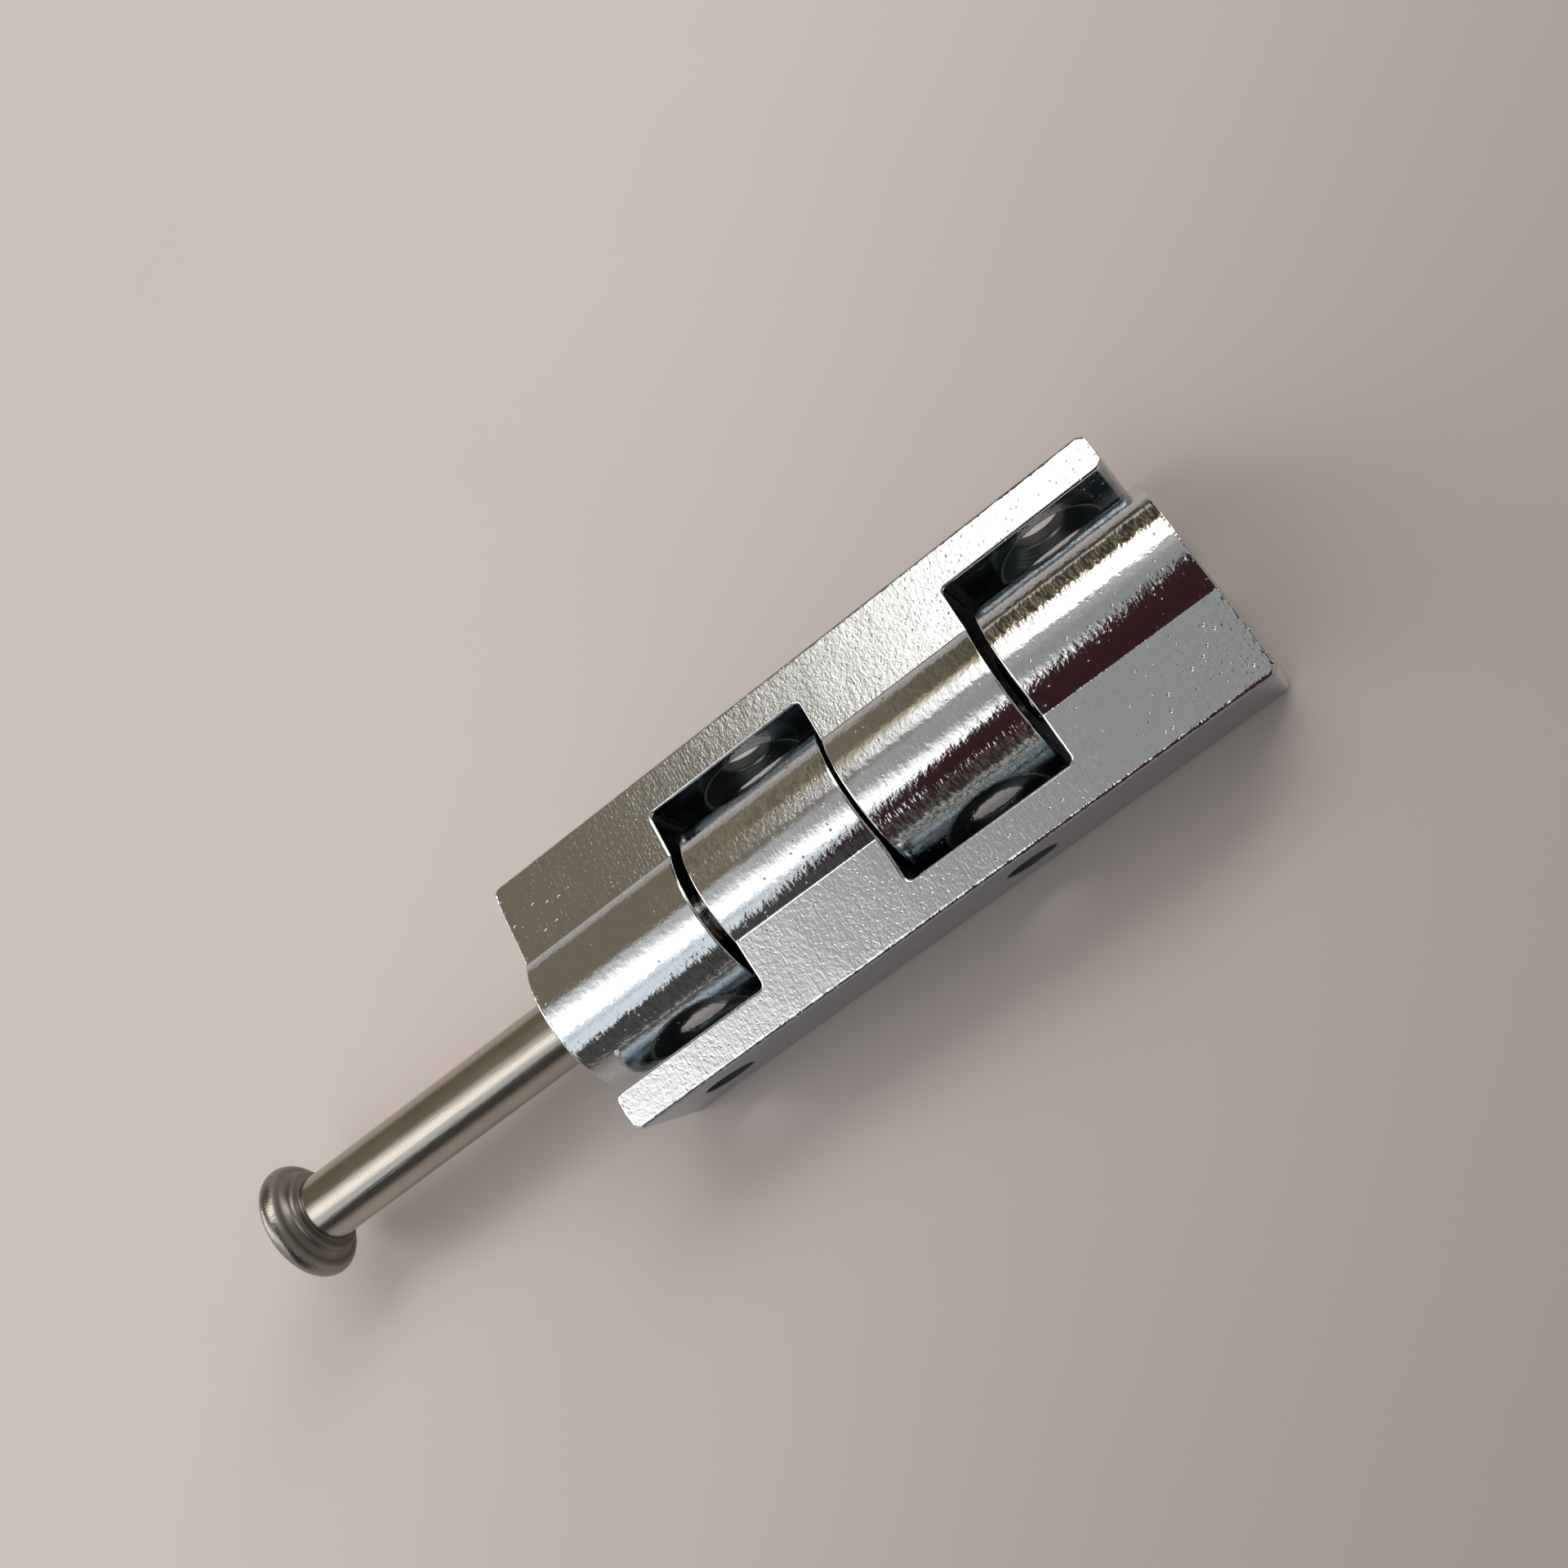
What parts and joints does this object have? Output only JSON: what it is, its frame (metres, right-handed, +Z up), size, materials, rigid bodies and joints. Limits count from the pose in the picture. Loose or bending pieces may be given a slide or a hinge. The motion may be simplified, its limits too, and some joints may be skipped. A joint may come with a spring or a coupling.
{
  "type": "concealed hinge",
  "caption": "Cast block hinge with interleaved knuckles on a loose headed pin, its countersunk screw holes hidden in pockets behind the barrels.",
  "frame": {"origin": "middle of the frame leaf's mounting face", "axes": "+X along the pin from its head to its tip, +Z up from the table on which the hinge lies, so the mounting faces lean with the sag of the leaves"},
  "size_m": [0.0956, 0.0237, 0.0142],
  "materials": {
    "plated_casting": "bright chrome on a cast surface",
    "pin_steel": "satin nickel"
  },
  "bodies": {
    "frame_leaf": {"frame_leaf": "plated_casting"},
    "door_leaf": {"door_leaf": "plated_casting"},
    "hinge_pin": {"hinge_pin": "pin_steel"}
  },
  "joints": [
    {"name": "leaf_swing", "type": "hinge", "parent": "frame_leaf", "child": "door_leaf", "pos_m": [0, -0.01123, 0.00128], "axis": [-1, 0, 0], "range_deg": [-92, 118]},
    {"name": "pin_slide", "type": "slide", "parent": "frame_leaf", "child": "hinge_pin", "axis": [1, 0, 0], "range_m": [-0.03, 0.0302]}
  ]
}
